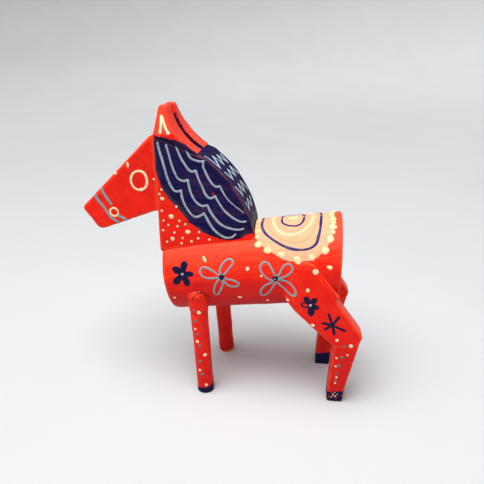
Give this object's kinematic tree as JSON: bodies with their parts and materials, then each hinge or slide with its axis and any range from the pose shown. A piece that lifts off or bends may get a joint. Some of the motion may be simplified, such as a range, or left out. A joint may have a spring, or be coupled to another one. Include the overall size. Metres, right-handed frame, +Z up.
{
  "type": "painted wooden horse figure",
  "caption": "Standing toy-like wooden horse joined from a round log body, sawn neck, head and hind-leg blocks and dowel legs, hand painted in folk style.",
  "frame": {"origin": "on the floor, under the middle of the whole figure", "axes": "+Z up, the horse faces -X, its left side is at -Y"},
  "size_m": [0.127, 0.043, 0.1334],
  "materials": {
    "red_paint": "brushed orange-red paint, satin",
    "navy_paint": "brushed dark navy paint, satin",
    "grey_blue_paint": "thin pale grey-blue paint lines",
    "teal_paint": "thin teal-grey paint lines",
    "cream_paint": "raised cream paint dots and strokes",
    "peach_paint": "peach paint patch, matt",
    "filler": "rough wood filler painted red",
    "bare_wood": "plain birch dowel, unfinished"
  },
  "bodies": {
    "root": {"body_log": "red_paint", "neck_block": "navy_paint", "head_block": "red_paint", "left_ear": "red_paint", "right_ear": "red_paint", "neck_dowel_front": "bare_wood", "neck_dowel_rear": "bare_wood", "head_dowel": "bare_wood", "left_front_leg": "red_paint", "right_front_leg": "red_paint", "left_front_collar": "filler", "right_front_collar": "filler", "left_thigh": "red_paint", "right_thigh": "red_paint", "left_shank": "red_paint", "right_shank": "red_paint", "left_hip_filler": "filler", "right_hip_filler": "filler", "left_hip_dowel": "bare_wood", "right_hip_dowel": "bare_wood", "left_hock_dowel": "bare_wood", "right_hock_dowel": "bare_wood"}
  },
  "joints": []
}
